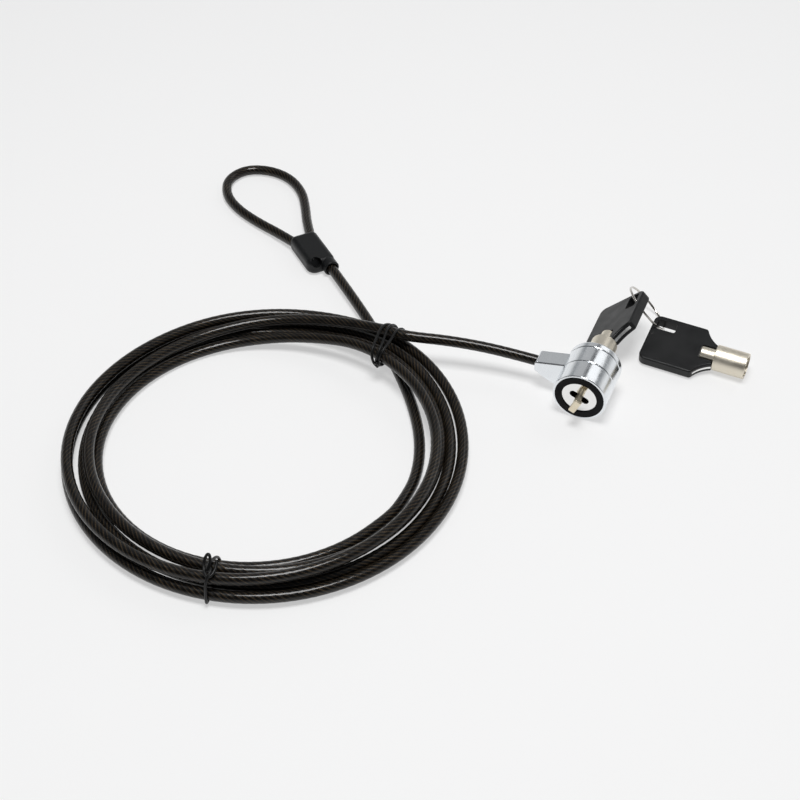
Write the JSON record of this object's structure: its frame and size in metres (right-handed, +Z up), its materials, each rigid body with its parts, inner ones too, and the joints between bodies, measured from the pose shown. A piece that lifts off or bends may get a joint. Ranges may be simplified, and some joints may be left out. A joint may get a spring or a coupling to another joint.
{
  "type": "laptop cable lock",
  "caption": "Swivelling barrel lock with a T-bar nose on a coiled, coated steel cable with an eye at its far end, and tubular keys on a split ring, one of them in the lock.",
  "frame": {"origin": "centre of the lock head's front rubber pad, on the lock axis; the table is 10.9 mm below it", "axes": "-Y out of the lock's nose along the lock axis, +Y towards the key, +Z up from the table, +X to the right of someone facing the back of the lock towards +Y"},
  "size_m": [0.2567, 0.2427, 0.0218],
  "materials": {
    "shell_chrome": "polished chrome plate",
    "pad_rubber": "matt black rubber",
    "face_steel": "polished stainless steel",
    "nose_nickel": "satin nickel plate",
    "lock_steel": "turned steel",
    "pin_brass": "turned brass",
    "spring_steel": "drawn wire",
    "sleeve_alloy": "pressed, satin",
    "cable_coat": "smoky black clear-coated plastic over steel rope",
    "boot_plastic": "moulded black plastic",
    "tie_wire": "black plastic-coated wire",
    "ring_steel": "nickel-plated spring steel",
    "bow_plastic": "moulded black plastic, satin",
    "key_nickel": "nickel plate"
  },
  "bodies": {
    "cable": {"swivel_ring": "shell_chrome", "cable_stop": "sleeve_alloy", "cable_lead": "cable_coat", "cable_coil": "cable_coat", "cable_tail": "cable_coat", "cable_eye": "cable_coat", "eye_ferrule": "sleeve_alloy", "ferrule_boot": "boot_plastic", "tie_back": "tie_wire", "tie_front": "tie_wire"},
    "housing": {"front_shell": "shell_chrome", "face_plate": "face_steel", "rubber_pad": "pad_rubber", "lock_barrel": "lock_steel", "keyway_bush": "lock_steel", "rear_cap": "shell_chrome", "barrel_dowel": "lock_steel", "pin_springs": "spring_steel"},
    "core": {"lock_rotor": "lock_steel", "t_bar_spindle": "nose_nickel", "spindle_pin": "lock_steel"},
    "key_pins": {"key_pins": "pin_brass"},
    "driver_pins": {"driver_pins": "pin_brass"},
    "key_1": {"key_1_tube": "key_nickel", "key_1_plate": "key_nickel", "key_1_bow": "bow_plastic"},
    "split_ring": {"split_ring": "ring_steel"},
    "key_2": {"key_2_tube": "key_nickel", "key_2_plate": "key_nickel", "key_2_bow": "bow_plastic"}
  },
  "joints": [
    {"name": "head_swivel", "type": "hinge", "parent": "cable", "child": "housing", "pos_m": [0, 0.0144, 0], "axis": [0, 1, 0], "continuous": true},
    {"name": "lock_turn", "type": "hinge", "parent": "housing", "child": "core", "pos_m": [0, 0.0175, 0], "axis": [0, -1, 0], "range_deg": [0, 90]},
    {"name": "key_pull", "type": "slide", "parent": "core", "child": "key_1", "axis": [0, 1, 0], "range_m": [0, 0.012]},
    {"name": "key_pin_lift", "type": "slide", "parent": "core", "child": "key_pins", "axis": [0, 1, 0], "range_m": [0, 0.0018]},
    {"name": "driver_pin_lift", "type": "slide", "parent": "housing", "child": "driver_pins", "axis": [0, 1, 0], "range_m": [0, 0.0018], "deforming": ["pin_springs"]},
    {"name": "ring_swing", "type": "hinge", "parent": "key_1", "child": "split_ring", "pos_m": [0.0065, 0.0573, 0.00549], "axis": [0.7398, -0.5908, -0.3219], "range_deg": [-15, 15]},
    {"name": "key_2_swing", "type": "hinge", "parent": "split_ring", "child": "key_2", "pos_m": [0.01734, 0.0582, -0.0052], "axis": [0.2779, 0.6757, -0.6827], "range_deg": [-20, 20]}
  ],
  "couplings": [
    {"joint": "key_pin_lift", "follows": "key_pull", "ratio": 0.15},
    {"joint": "driver_pin_lift", "follows": "key_pull", "ratio": 0.15}
  ]
}
